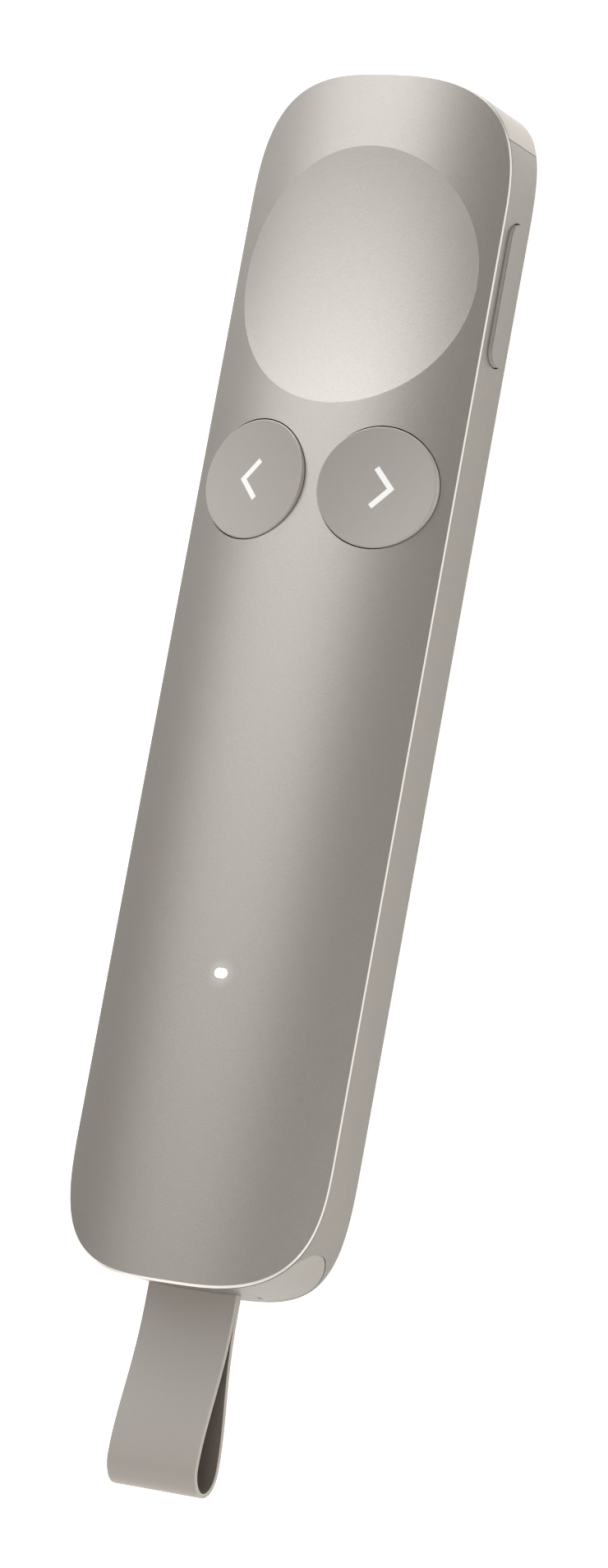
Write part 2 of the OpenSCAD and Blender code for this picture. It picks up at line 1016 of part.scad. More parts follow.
// Moulded base that closes the receiver and holds the plug
module plug_base() {
    color("#3b3a39")
        difference() {
            translate([0, receiver_back - base_thickness / 2, receiver_pocket_z + fit])
                box(receiver_pocket_width - 2 * fit, base_thickness, receiver_pocket_height - 2 * fit);
            along_y(receiver_back - base_thickness - over, receiver_back + over)
                translate([0, plug_z])
                    pill(plug_width, plug_height);
        }
}

module plug_shell() {
    color("#d0d0d3")
        difference() {
            along_y(receiver_back - base_thickness, receiver_back + plug_length)
                translate([0, plug_z])
                    pill(plug_width, plug_height);
            along_y(receiver_back - base_thickness - over, receiver_back + plug_length + over)
                translate([0, plug_z])
                    pill(plug_width - 2 * plug_wall, plug_height - 2 * plug_wall);
        }
}

module plug_core() {
    tip = receiver_back + plug_length;
    slot_start = bay_back + socket_length - socket_wall - tongue_board_length - plug_slot_end_gap;
    color("#1b1b1d")
        difference() {
            along_y(receiver_back - base_thickness, tip)
                translate([0, plug_z])
                    pill(plug_width - 2 * plug_wall, plug_height - 2 * plug_wall);
            translate([
                -tongue_board_width / 2 - plug_slot_gap,
                slot_start,
                plug_z - tongue_board_height / 2 - plug_slot_gap
            ])
                cube([
                    tongue_board_width + 2 * plug_slot_gap,
                    tip - slot_start + over,
                    tongue_board_height + 2 * plug_slot_gap
                ]);
        }
}

receiver_board_length = receiver_pocket_depth - base_thickness - 2 * receiver_board_gap;
receiver_board_y = receiver_back - base_thickness - receiver_board_gap - receiver_board_length / 2;

module receiver_pcb() {
    color("#2d5a41")
        translate([0, receiver_board_y, receiver_pocket_z + receiver_board_gap])
            box(receiver_pocket_width - 2 * receiver_board_gap, receiver_board_length, receiver_board_thickness);
}

module receiver_chip() {
    color("#1f1f21")
        translate([0, receiver_board_y, receiver_pocket_z + receiver_board_gap + receiver_board_thickness])
            box(receiver_chip_side, receiver_chip_side, receiver_chip_height);
}

module strap_pin() {
    color("#c9c9cc")
        along_x(-pin_half_length, pin_half_length)
            translate([pin_depth - half_l, strap_z])
                circle(pin_r - fit / 2);
}

// Half depth of the loop along a leg: closed at the mouth, full at the bend
function loop_half(s) = loop_depth / 2 * pow(3 * s * s - 2 * s * s * s, 3 / 2);

leg_length = strap_reach - bend_reach;

// One side of the loop from the mouth to the bend, then half way round
function loop_side(start, skin) = concat(
    [for (i = [0 : leg_steps])
        let (s = start + (1 - start) * i / leg_steps)
        [-half_l - s * leg_length, loop_half(s) + skin]],
    [for (i = [1 : bend_steps])
        let (a = 90 * i / bend_steps)
        [
            -half_l - leg_length - (bend_reach - strap_thickness + skin) * sin(a),
            (loop_depth / 2 + skin) * cos(a)
        ]]
);

function mirrored(side) = [for (i = [len(side) - 2 : -1 : 0]) [side[i][0], -side[i][1]]];

module strap_loop(start, skin) {
    side = loop_side(start, skin);
    polygon(concat(side, mirrored(side)));
}

// Flat strap: one band folded into a loop round the pin in the receiver
module strap() {
    eye = pin_r + pin_gap + strap_thickness;
    color("#aca59e")
        along_x(-strap_width / 2, strap_width / 2)
            translate([0, strap_z])
                difference() {
                    union() {
                        strap_loop(0, strap_thickness);
                        translate([-half_l - fit, -strap_thickness])
                            square([pin_depth + fit, 2 * strap_thickness]);
                        translate([pin_depth - half_l, 0])
                            circle(eye);
                    }
                    strap_loop(gap_start_share, 0);
                    translate([pin_depth - half_l, 0])
                        circle(pin_r + pin_gap);
                }
}

front_shell();
edge_seal();
rear_housing();
top_cap();
prev_button();
next_button();
prev_icon();
next_icon();
prev_plunger();
next_plunger();
prev_switch();
next_switch();
side_button();
side_plunger();
side_switch();
led_lens();
status_led();
touch_sensor();
sensor_carrier();
main_pcb();
frame_screws();
radio_chip();
shield_can();
motion_sensor();
power_chip();
antenna();
haptic_motor();
battery();
battery_pad();
battery_connector();
battery_leads();
usb_socket();
usb_tongue();
receiver_housing();
plug_base();
plug_shell();
plug_core();
receiver_pcb();
receiver_chip();
strap_pin();
strap();
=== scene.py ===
import json
import math

import bpy
import numpy as np
from mathutils import Matrix, Vector
from mathutils.geometry import delaunay_2d_cdt


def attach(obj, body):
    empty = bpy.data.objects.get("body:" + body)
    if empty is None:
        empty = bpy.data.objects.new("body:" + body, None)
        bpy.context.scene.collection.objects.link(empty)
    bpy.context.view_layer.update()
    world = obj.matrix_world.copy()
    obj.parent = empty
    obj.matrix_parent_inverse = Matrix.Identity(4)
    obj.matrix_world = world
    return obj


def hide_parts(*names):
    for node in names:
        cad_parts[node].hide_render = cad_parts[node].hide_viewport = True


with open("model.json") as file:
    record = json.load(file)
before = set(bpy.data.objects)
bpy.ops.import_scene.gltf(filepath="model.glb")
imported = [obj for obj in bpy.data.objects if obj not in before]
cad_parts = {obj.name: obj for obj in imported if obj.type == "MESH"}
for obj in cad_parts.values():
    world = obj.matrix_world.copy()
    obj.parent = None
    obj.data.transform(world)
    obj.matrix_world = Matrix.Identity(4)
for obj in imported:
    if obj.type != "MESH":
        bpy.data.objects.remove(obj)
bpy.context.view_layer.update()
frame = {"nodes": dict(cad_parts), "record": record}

# Sizes are in millimetres, and those of the CAD's forms repeat the part's source
MM = 0.001

# Body: half width, half length, thickness, rounded ends, rise of crown and back, and walls
HALF_W, HALF_L, THICK = 15.8, 65.65, 12.4
END, POWER = 15.7, 3.14
RISE, BACK, LAND = 3.1, 3.5, 10.0
SHEET, SEAM, WALL, RIM = 1.0, 0.15, 1.2, 0.6
CAP_LONG = 6.1
CAP_Y = HALF_L - CAP_LONG
CROWN_R = (HALF_W**2 + RISE**2) / RISE / 2
BACK_REACH = HALF_W - LAND / 2
BACK_R = (BACK_REACH**2 + BACK**2) / BACK / 2
STEP_DOWN = SHEET + SEAM
LIP_IN = RIM + SEAM

# Rounding at the back, half the line beside the cap, and the block's top before its step is cut
EDGE, HAIR, BLOCK_DOWN = 0.3, 0.04, 0.5
EDGE_STEPS = 4

# The cap's tongue: inset, depth under the crown, inset of its hollow, and reach past the line
TONGUE_IN, TONGUE_DOWN, TONGUE_HOLLOW, TONGUE_HALF = 1.3, 1.45, 2.2, 3.0

# Chamfer, lip and seam along the sides, what they gain towards the ends, and the seal in the seam
CHAMFER_IN, CHAMFER_DOWN, LIP_TALL, SEAM_TALL = 0.12, 0.07, 0.04, 0.04
MORE_IN, MORE_DOWN, MORE_SEAM = 0.14, 0.11, 0.26
SEAL_IN, SEAL_GAP = 0.005, 0.01

# Touch dish, and how far on both sides of its radius its rim is looked for
DISH_FROM_END, DISH_FROM_SIDE, DISH_DEPTH = 22.4, 1.6, 0.85
DISH_Y, DISH_R = HALF_L - DISH_FROM_END, HALF_W - DISH_FROM_SIDE
RIM_SEARCH = 1.2

# Round buttons: place and radius in the source, then the face as the photo shows it
BUTTON_X, BUTTON_FROM_END, BUTTON_R, GAP = 7.6, 45.3, 6.5, 0.2
BUTTON_Y = HALF_L - BUTTON_FROM_END
GAP_CLOSED, BUTTON_DEEP, ROUND_EDGE, FACE_OVER, FACE_SAG = 0.08, 1.6, 0.12, 0.05, 0.2
SEEN_R = BUTTON_R + GAP_CLOSED
FLAT_RING = 0.03

# Chevrons: tip, back, half height, stroke and depth, and the inlay's drop and floor gap
MARK_TIP, MARK_BACK, MARK_RISE, MARK_STROKE, MARK_DEEP = 1.5, 0.45, 2.1, 0.62, 0.3
MARK_DROP, MARK_FLOOR = 0.005, 0.01

# Side button, its opening, and where along X the opening is cut
SIDE_Y, SIDE_Z, SIDE_LONG, SIDE_TALL = DISH_Y, 6.1, 15.6, 3.5
SIDE_PROUD, SIDE_DEEP, SIDE_EDGE, SIDE_OPEN = 0.4, 1.3, 0.1, 0.3
SIDE_CUT = (13.0, 17.0)

# Window of the status light, and the reach and strength of the glow painted as light on the metal round it
LED_FROM_END, LED_W, LED_H = 32.8, 1.7, 1.2
LED_Y = LED_FROM_END - HALF_L
GLOW_FROM, GLOW_TO, PAINTED_GLOW = 0.5, 2.0, 0.09

# Strap: height, width, thickness, reach, spread and fold of its loop, and its cut edges
STRAP_Z, STRAP_W, STRAP_T, STRAP_REACH, LOOP, FOLD = 5.95, 10.9, 0.5, 21.2, 3.8, 3.1
STRAP_ROUND, STRAP_BEVEL, GROOVE_DEEP, GROOVE_HALF = 0.08, 0.02, 0.06, 0.04

# Receiver and its bay: depths, gaps, and the bay's outline seen from the end
BAY_LONG, RECEIVER_LONG, BAY_GAP, BAY_LINE = 14.15, 14.0, 0.15, 0.07
BAY_Y, RECEIVER_Y = BAY_LONG - HALF_L, RECEIVER_LONG - HALF_L
BAY_IN, BAY_LOW, BAY_OVER, BAY_LOW_R, BAY_TOP_R = 1.5, 1.4, 0.2, 4.6, 6.0
SOCKET_Z, SOCKET_W, SOCKET_H, SOCKET_DEEP = 4.855, 9.14, 3.29, 2.0
BASE_Z, BASE_W, BASE_H, BASE_R, BASE_DEEP = 5.0, 22.1, 4.0, 0.01, 8.4

# Mouth of the receiver, the insert that nearly closes it, and a small hole at each end with a black plug in
# it as painted shade
MOUTH_UNDER, MOUTH_W, MOUTH_H, MOUTH_R, MOUTH_DEEP = 0.65, 14.0, 3.5, 1.2, 4.2
MOUTH_Z = STRAP_Z - MOUTH_UNDER
INSERT_Y, INSERT_GAP = -64.0, 0.05
SLOT_PLAY, SLOT_H, SLOT_R, SLOT_Y = 0.1, 1.1, 0.3, -60.0
DOT_X, DOT_Z, DOT_W, DOT_H, DOT_R = 6.6, 3.6, 0.34, 0.94, 0.16
DOT_Y, DOT_GAP = (-65.31, -64.5), 0.01

# Cutting tools reach to these places past the ends, beside, under and over the part, or into air
FAR, ASIDE, UNDER, OVER, INTO_AIR = 80.0, 30.0, -10.0, 20.0, 1.0

# Steps, clearances and counts of the meshes, and angles in degrees above which an edge is sharp
CURVE_STEP, SIDE_STEP, SKIN_STEP, BLOCK_STEP, TOOL_STEP, FACE_STEP = 0.4, 1.0, 0.75, 1.6, 3.0, 0.7
SKIN_CLEAR, FACE_CLEAR, LIP_CLEAR = 0.4, 0.25, 0.3
OPENING_COUNT, WINDOW_COUNT, BASE_COUNT = 144, 12, 2
SHARP, SHARP_CUT, SHARP_BUTTON, SHARP_STRAP = 30, 25, 35, 40


# Surfaces of the body
def crown_z(x, under=0.0):
    """Height of the crown, or of a surface evenly under it."""
    return THICK - CROWN_R + np.sqrt((CROWN_R - under) ** 2 - x * x)


def back_z(x, over=0.0):
    """Height of the back, flat on the land and round beside it, or of a surface over it."""
    reach = np.maximum(0, np.abs(x) - LAND / 2)
    return BACK_R - np.sqrt((BACK_R - over) ** 2 - reach * reach)


def under_crown(depth):
    return lambda x: crown_z(x, depth)


def over_back(depth):
    return lambda x: back_z(x, depth)


CROSS_SAG = THICK - crown_z(DISH_R) - DISH_DEPTH
CROSS_R = (DISH_R**2 + CROSS_SAG**2) / CROSS_SAG / 2
LONG_R = (DISH_R**2 + DISH_DEPTH**2) / DISH_DEPTH / 2
AXIS_Z = THICK - DISH_DEPTH - CROSS_R


def dish_z(x, y):
    """Height of the dish, which curves up along the body and down across it."""
    rho = CROSS_R + LONG_R - np.sqrt(LONG_R**2 - (y - DISH_Y) ** 2)
    return AXIS_Z + np.sqrt(rho**2 - x * x)


# Plan curve of the body
def quarter_curve(step, samples=4001):
    """Points and outward normals of a superelliptic quarter, at even steps."""
    angle = np.radians(np.linspace(0, 90, samples))
    cos, sin = np.cos(angle), np.sin(angle)
    cos[-1] = 0
    points = np.stack([HALF_W * cos ** (2 / POWER), HALF_L - END + END * sin ** (2 / POWER)], 1)
    normals = np.stack([cos ** (2 - 2 / POWER) / HALF_W, sin ** (2 - 2 / POWER) / END], 1)
    normals /= np.linalg.norm(normals, axis=1)[:, None]
    run = np.concatenate([[0], np.cumsum(np.linalg.norm(np.diff(points, axis=0), axis=1))])
    at = np.linspace(0, run[-1], int(round(run[-1] / step)) + 1)
    picked = np.stack([np.interp(at, run, column) for column in np.hstack([points, normals]).T], 1)
    picked[-1] = [0, HALF_L, 0, 1]
    return picked


def whole_curve(step, side_step):
    """The closed curve from the right side's lower end, as rows of x, y and normal."""
    quarter = quarter_curve(step)
    y = np.linspace(-(HALF_L - END), HALF_L - END, int(2 * (HALF_L - END) / side_step) + 1)[:-1]
    side = np.stack([np.full_like(y, HALF_W), y, np.ones_like(y), np.zeros_like(y)], 1)
    flip_x, flip_y = np.array([-1, 1, -1, 1]), np.array([1, -1, 1, -1])
    top_left = (quarter * flip_x)[::-1][1:]
    left = (side * flip_x * flip_y)[1:]
    low_left = quarter * flip_x * flip_y
    low_right = (quarter * flip_y)[::-1][1:-1]
    return np.concatenate([side, quarter, top_left, left, low_left, low_right])


CURVE = whole_curve(CURVE_STEP, SIDE_STEP)
END_SHARE = np.abs(CURVE[:, 3])
CUT_IN = CHAMFER_IN + MORE_IN * END_SHARE**2
CUT_DOWN = CHAMFER_DOWN + MORE_DOWN * END_SHARE**2
LIP_DOWN = CUT_DOWN + LIP_TALL
RIM_DOWN = LIP_DOWN + SEAM_TALL + MORE_SEAM * END_SHARE


def plan(inset):
    """The curve moved inwards by one inset, or by one for each point."""
    return CURVE[:, :2] - np.reshape(inset, (-1, 1)) * CURVE[:, 2:]


def heights(z, x):
    """Heights over x, where z is a function of x or one height for all."""
    return z(x) if callable(z) else np.full(len(x), float(z))


def ring(inset, z):
    """The curve moved inwards, at heights, or at a depth under the crown for each point."""
    points = plan(inset)
    if isinstance(z, np.ndarray):
        return np.column_stack([points, crown_z(points[:, 0]) - z])
    return np.column_stack([points, heights(z, points[:, 0])])


# Outlines
def arc(cx, cy, r, start, end, count):
    angles = np.radians(np.linspace(start, end, count))
    return [(cx + r * math.cos(angle), cy + r * math.sin(angle)) for angle in angles]


def circle(cx, cy, r, count):
    return np.array(arc(cx, cy, r, 0, 360, count + 1)[:-1])


def pill_outline(cx, cy, length, height, count=24):
    r, d = height / 2, (length - height) / 2
    return arc(cx + d, cy, r, -90, 90, count) + arc(cx - d, cy, r, 90, 270, count)


def rounded_outline(cx, cy, length, height, r, count=8):
    dx, dy = length / 2 - r, height / 2 - r
    outline = []
    for side, level, turn in ((1, -1, -90), (1, 1, 0), (-1, 1, 90), (-1, -1, 180)):
        outline += arc(cx + side * dx, cy + level * dy, r, turn, turn + 90, count)
    return outline


def bay_outline(gap, count=24):
    """The receiver's outline in the end wall, or the bay's with a gap round it."""
    w, low, high = HALF_W - BAY_IN + gap, BAY_LOW - gap, THICK + BAY_OVER + gap
    low_r, top_r = BAY_LOW_R + gap, BAY_TOP_R + gap
    outline = arc(w - low_r, low + low_r, low_r, -90, 0, count)
    outline += arc(w - top_r, high - top_r, top_r, 0, 90, count)
    outline += arc(-w + top_r, high - top_r, top_r, 90, 180, count)
    outline += arc(-w + low_r, low + low_r, low_r, 180, 270, count)
    return outline


# Filling an outline with triangles
def inside(points, loop):
    """Says for each point whether it lies inside the loop."""
    x, y = points[:, 0][:, None], points[:, 1][:, None]
    start, end = loop, np.roll(loop, -1, axis=0)
    cross = (start[:, 1] > y) != (end[:, 1] > y)
    rise = np.where(end[:, 1] == start[:, 1], 1, end[:, 1] - start[:, 1])
    at = start[:, 0] + (y - start[:, 1]) * (end[:, 0] - start[:, 0]) / rise
    return (np.sum(cross & (x < at), axis=1) % 2) == 1


def grid_points(loops, step, clear, row_share=0.866):
    """Staggered points inside the first loop, clear of every loop."""
    low, high = loops[0].min(0), loops[0].max(0)
    points = []
    for k, y in enumerate(np.arange(low[1], high[1], step * row_share)):
        xs = np.arange(math.floor(low[0] / step) * step, high[0], step) + (k % 2) * step / 2
        points.append(np.column_stack([xs, np.full_like(xs, y)]))
    points = np.concatenate(points)
    points = points[inside(points, loops[0])]
    edge = np.concatenate(loops)
    far = [np.min(np.hypot(*(edge - point).T)) > clear for point in points]
    return points[np.array(far)]


def triangulate(loops, points, weld=1e-6):
    """Points, triangles, and for each point the inputs that it stands for."""
    coords, edges = [], []
    for loop in loops:
        first = len(coords)
        coords += [Vector(p) for p in loop]
        edges += [(first + i, first + (i + 1) % len(loop)) for i in range(len(loop))]
    coords += [Vector(p) for p in points]
    result = delaunay_2d_cdt(coords, edges, [], 0, weld)
    return np.array([tuple(v) for v in result[0]]), [tuple(f) for f in result[2]], result[3]


def centres_of(xy, triangles):
    return np.array([xy[list(t)].mean(0) for t in triangles])


def facing_up(triangle, xy):
    a, b, c = triangle
    u, v = xy[b] - xy[a], xy[c] - xy[a]
    return triangle if u[0] * v[1] - u[1] * v[0] > 0 else (a, c, b)


# Meshes
class Shape:
    """Collects points and faces. Each face has its part's name and a finish by number."""

    def __init__(self):
        self.points, self.faces, self.parts, self.finishes = [], [], [], []

    def add(self, points):
        first = len(self.points)
        self.points += [tuple(float(v) for v in p) for p in points]
        return list(range(first, first + len(points)))

    def face(self, ids, part="side", finish=0):
        self.faces.append(tuple(ids))
        self.parts.append(part)
        self.finishes.append(finish)

    def bridge(self, row, after, part="side", finish=0):
        for i in range(len(row)):
            j = (i + 1) % len(row)
            self.face((row[i], row[j], after[j], after[i]), part, finish)

    def drop_unused(self):
        """Drops the points that no face uses."""
        used = sorted({v for f in self.faces for v in f})
        place = {v: i for i, v in enumerate(used)}
        self.points = [self.points[v] for v in used]
        self.faces = [tuple(place[v] for v in f) for f in self.faces]


def build(name, shape, materials=(), sharp=SHARP):
    """Makes the object, with its edges sharp between parts and where the angle is steep."""
    mesh = bpy.data.meshes.new(name)
    mesh.from_pydata([tuple(v * MM for v in p) for p in shape.points], [], shape.faces)
    for finish in materials:
        mesh.materials.append(finish)
    mesh.polygons.foreach_set("material_index", shape.finishes)
    mesh.update()
    mesh.shade_smooth()
    mesh.set_sharp_from_angle(angle=math.radians(sharp))
    part_at, between = {}, set()
    for polygon, part in zip(mesh.polygons, shape.parts):
        for key in polygon.edge_keys:
            if part_at.setdefault(key, part) != part:
                between.add(key)
    for edge in mesh.edges:
        if tuple(sorted(edge.vertices)) in between:
            edge.use_edge_sharp = True
    obj = bpy.data.objects.new(name, mesh)
    bpy.context.scene.collection.objects.link(obj)
    return obj


def boolean(obj, tool, operation="DIFFERENCE"):
    """Cuts the object with a tool, which is then removed."""
    cut = obj.modifiers.new("cut", "BOOLEAN")
    cut.operation, cut.object, cut.solver = operation, tool, "EXACT"
    bpy.context.view_layer.update()
    made = bpy.data.meshes.new_from_object(obj.evaluated_get(bpy.context.evaluated_depsgraph_get()))
    obj.modifiers.clear()
    obj.data = made
    made.shade_smooth()
    made.set_sharp_from_angle(angle=math.radians(SHARP_CUT))
    bpy.data.objects.remove(tool)
    return obj


def copy_of(obj, name):
    twin = obj.copy()
    twin.data = obj.data.copy()
    twin.name = name
    bpy.context.scene.collection.objects.link(twin)
    return twin


def prism(outline, axis, start, end, name="cut", materials=()):
    """A closed prism: outline in XZ pushed along Y, or in YZ pushed along X."""
    shape = Shape()
    outline = list(outline)[::-1] if axis == "y" else outline
    ends = []
    for v in (start, end):
        ends.append(shape.add([(p[0], v, p[1]) if axis == "y" else (v, p[0], p[1]) for p in outline]))
    shape.bridge(ends[0], ends[1])
    shape.face(ends[0][::-1], "end")
    shape.face(ends[1], "end")
    return build(name, shape, materials)


def slab(start, end):
    """A tool that takes everything between two places along Y."""
    return prism([(-ASIDE, UNDER), (ASIDE, UNDER), (ASIDE, ASIDE), (-ASIDE, ASIDE)], "y", start, end)


def stack(name, rings, fill_low, fill_high, step, clear_share=0.6):
    """A closed solid from rings on the curve, with filled ends. A fill is an inset and a z."""
    shape = Shape()
    ids = [shape.add(r) for r in rings]
    for k in range(len(ids) - 1):
        shape.bridge(ids[k], ids[k + 1])
    for row, (inset, z), flip in ((ids[0], fill_low, True), (ids[-1], fill_high, False)):
        loop = plan(inset)
        xy, triangles, origins = triangulate([loop], grid_points([loop], step, step * clear_share))
        where = {i: row[min(origin)] for i, origin in enumerate(origins)
                 if origin and min(origin) < len(loop)}
        extra = [i for i in range(len(xy)) if i not in where]
        level = heights(z, xy[:, 0])
        where.update(zip(extra, shape.add([(*xy[i], level[i]) for i in extra])))
        for triangle, kept in zip(triangles, inside(centres_of(xy, triangles), loop)):
            if kept:
                face = [where[v] for v in triangle]
                shape.face(face[::-1] if flip else face, "fill")
    return build(name, shape)


def fill_between(shape, loops, points, height, known):
    """Fills the first loop, less the others, and returns the ids of every loop's points.
    Points of the loops that are in the shape already are known, as input number to id."""
    xy, triangles, origins = triangulate(loops, points)
    starts = np.cumsum([0] + [len(loop) for loop in loops])
    ids, where = {}, {}
    for i, origin in enumerate(origins):
        low = min(origin) if origin else starts[-1]
        ids[i] = known[low] if low in known else shape.add([(*xy[i], height(*xy[i]))])[0]
        for v in origin:
            where[v] = ids[i]
    centres = centres_of(xy, triangles)
    keep = inside(centres, loops[0])
    for loop in loops[1:]:
        keep &= ~inside(centres, loop)
    for triangle, kept in zip(triangles, keep):
        if kept:
            shape.face([ids[v] for v in facing_up(triangle, xy)], "face")
    return [[where[v] for v in range(starts[k], starts[k + 1])] for k in range(len(loops))]


def rounded_edge(edge, depth, steps=8):
    """Insets and heights from the flat of a face, round its edge and down its side."""
    rows = [(edge + FLAT_RING, 0.0)]
    for k in range(steps + 1):
        angle = math.radians(90 * k / steps)
        rows.append((edge * (1 - math.sin(angle)), edge * (math.cos(angle) - 1)))
    rows.append((0.0, -depth))
    return rows


# Materials
def srgb(red, green, blue):
    """Linear colour with alpha, from screen levels of 11 to 255."""
    return tuple(((v / 255 + 0.055) / 1.055) ** 2.4 for v in (red, green, blue)) + (1.0,)


def shade(colour, share):
    return tuple(min(1, c * share) for c in colour[:3]) + (1.0,)


# Detail of both noises, the usual range of a noise, how far gloss wanders, and the grain's height
FINE_DETAIL, WIDE_DETAIL = 3.0, 2.0
NOISE_LOW, NOISE_HIGH, GLOSS_WANDER = 0.3, 0.7, 0.02
GRAIN_HEIGHT = 0.02


def noise(nodes, scale, detail):
    node = nodes.new("ShaderNodeTexNoise")
    node.inputs["Scale"].default_value = scale
    node.inputs["Detail"].default_value = detail
    return node


def material(name, colour, rough, metal=0.0, grain=2500.0, vary=0.05, bump=0.02, blotch=1200.0,
             specular=0.5, glow=0.0):
    """A noise-driven finish: colour and roughness wander, and fine grain lifts the surface.
    The scales of grain and blotch are in features per metre."""
    finish = bpy.data.materials.new(name)
    finish.use_nodes = True
    nodes, links = finish.node_tree.nodes, finish.node_tree.links
    nodes.clear()
    out = nodes.new("ShaderNodeOutputMaterial")
    shader = nodes.new("ShaderNodeBsdfPrincipled")
    shader.inputs["Metallic"].default_value = metal
    shader.inputs["Specular IOR Level"].default_value = specular
    place = nodes.new("ShaderNodeTexCoord")
    fine = noise(nodes, grain, FINE_DETAIL)
    wide = noise(nodes, blotch, WIDE_DETAIL)
    mix = nodes.new("ShaderNodeMix")
    mix.data_type = "RGBA"
    mix.inputs["A"].default_value = shade(colour, 1 - vary)
    mix.inputs["B"].default_value = shade(colour, 1 + vary)
    gloss = nodes.new("ShaderNodeMapRange")
    gloss.inputs["From Min"].default_value = NOISE_LOW
    gloss.inputs["From Max"].default_value = NOISE_HIGH
    gloss.inputs["To Min"].default_value = rough - GLOSS_WANDER
    gloss.inputs["To Max"].default_value = rough + GLOSS_WANDER
    lift = nodes.new("ShaderNodeBump")
    lift.inputs["Strength"].default_value = bump
    lift.inputs["Distance"].default_value = GRAIN_HEIGHT * MM
    for texture in (fine, wide):
        links.new(place.outputs["Object"], texture.inputs["Vector"])
    links.new(fine.outputs["Fac"], mix.inputs["Factor"])
    links.new(mix.outputs["Result"], shader.inputs["Base Color"])
    links.new(wide.outputs["Fac"], gloss.inputs["Value"])
    links.new(gloss.outputs["Result"], shader.inputs["Roughness"])
    links.new(fine.outputs["Fac"], lift.inputs["Height"])
    links.new(lift.outputs["Normal"], shader.inputs["Normal"])
    if glow:
        links.new(mix.outputs["Result"], shader.inputs["Emission Color"])
        shader.inputs["Emission Strength"].default_value = glow
    links.new(shader.outputs["BSDF"], out.inputs["Surface"])
    return finish


# One finish for each slot of the record
SATIN = dict(vary=0.02, bump=0.04)
FINISHES = {
    "shell_aluminium": dict(colour=srgb(190, 183, 176), rough=0.38, metal=1.0, grain=5500, vary=0.1,
                            bump=0.4, blotch=5000),
    "seal_black": dict(colour=srgb(40, 37, 35), rough=0.8),
    "housing_satin": dict(colour=srgb(141, 135, 129), rough=0.42, metal=0.75, **SATIN),
    "cap_plastic": dict(colour=srgb(171, 163, 156), rough=0.42, metal=0.4, **SATIN),
    "button_satin": dict(colour=srgb(178, 170, 164), rough=0.4, metal=0.6, **SATIN),
    "side_satin": dict(colour=srgb(140, 134, 128), rough=0.42, metal=0.5, **SATIN),
    # The white marks glow a little, as painted light that makes them brighter
    "icon_white": dict(colour=srgb(246, 244, 241), rough=0.5, vary=0.02, glow=0.05),
    "switch_white": dict(colour=srgb(230, 226, 218), rough=0.5),
    "chip_black": dict(colour=srgb(34, 34, 36), rough=0.55, vary=0.15, bump=0.1),
    "lens_white": dict(colour=srgb(255, 253, 248), rough=0.3, vary=0.01, glow=0.25),
    "flex_amber": dict(colour=srgb(185, 120, 47), rough=0.35, vary=0.1),
    "frame_grey": dict(colour=srgb(74, 74, 76), rough=0.6, vary=0.08, bump=0.1),
    "board_green": dict(colour=srgb(45, 90, 65), rough=0.4, vary=0.15, grain=900),
    "steel": dict(colour=srgb(200, 200, 203), rough=0.32, metal=1.0, vary=0.06, grain=3000),
    "ceramic": dict(colour=srgb(233, 228, 214), rough=0.45, vary=0.04),
    "battery_foil": dict(colour=srgb(184, 188, 194), rough=0.3, metal=1.0, vary=0.06, grain=700, bump=0.15),
    "pad_foam": dict(colour=srgb(242, 240, 230), rough=0.9, vary=0.06, bump=0.4),
    "lead_red": dict(colour=srgb(179, 38, 30), rough=0.5),
    # The receiver's satin is the housing's made lighter, as painted light on the end wall
    "receiver_satin": dict(colour=srgb(158, 152, 146), rough=0.42, metal=0.75, **SATIN),
    "strap_band": dict(colour=srgb(167, 159, 152), rough=0.55, metal=0.1, vary=0.03, grain=3500, bump=0.15),
}
FINISH = {slot: material(slot, **values) for slot, values in FINISHES.items()}


def paint_lens_glow(finish):
    """Paints a glow on the blasted metal round the lens, as painted light from the lit lens."""
    nodes, links = finish.node_tree.nodes, finish.node_tree.links
    place = next(node for node in nodes if node.type == "TEX_COORD")
    shader = next(node for node in nodes if node.type == "BSDF_PRINCIPLED")
    far = nodes.new("ShaderNodeVectorMath")
    far.operation = "DISTANCE"
    far.inputs[1].default_value = (0, LED_Y * MM, THICK * MM)
    fade = nodes.new("ShaderNodeMapRange")
    fade.interpolation_type = "SMOOTHERSTEP"
    fade.inputs["From Min"].default_value = GLOW_FROM * MM
    fade.inputs["From Max"].default_value = GLOW_TO * MM
    fade.inputs["To Min"].default_value = PAINTED_GLOW
    fade.inputs["To Max"].default_value = 0.0
    links.new(place.outputs["Object"], far.inputs[0])
    links.new(far.outputs["Value"], fade.inputs["Value"])
    links.new(fade.outputs["Result"], shader.inputs["Emission Strength"])
    shader.inputs["Emission Color"].default_value = (1, 1, 1, 1)


paint_lens_glow(FINISH["shell_aluminium"])

# Finishes of single surfaces, beside the slots
POLISHED = material("chamfer_polished", srgb(230, 225, 218), rough=0.3, metal=1.0, vary=0.02)
STRAP_EDGE = material("strap_cut_edge", srgb(178, 171, 163), rough=0.6, vary=0.04, grain=3500, bump=0.1)
# The sides of the buttons are lighter than their faces, as painted light on sides that stand in shade
LIT_FLANK = material("button_flank_painted_light", srgb(188, 181, 173), rough=0.5, vary=0.02)
# The strap's inner face has a deeper tone, as painted shade where little light reaches
STRAP_INSIDE_SHADE = material("strap_inside_painted_shade", srgb(118, 108, 101), rough=0.7, vary=0.04, grain=3500, bump=0.15)

# The CAD's own pieces take the finish of their slot
for row in frame["record"]["subparts"]:
    piece = frame["nodes"][row["node"]]
    if not piece.material_slots:
        piece.data.materials.append(None)
    for material_slot in piece.material_slots:
        material_slot.material = FINISH[row["material_slot"]]


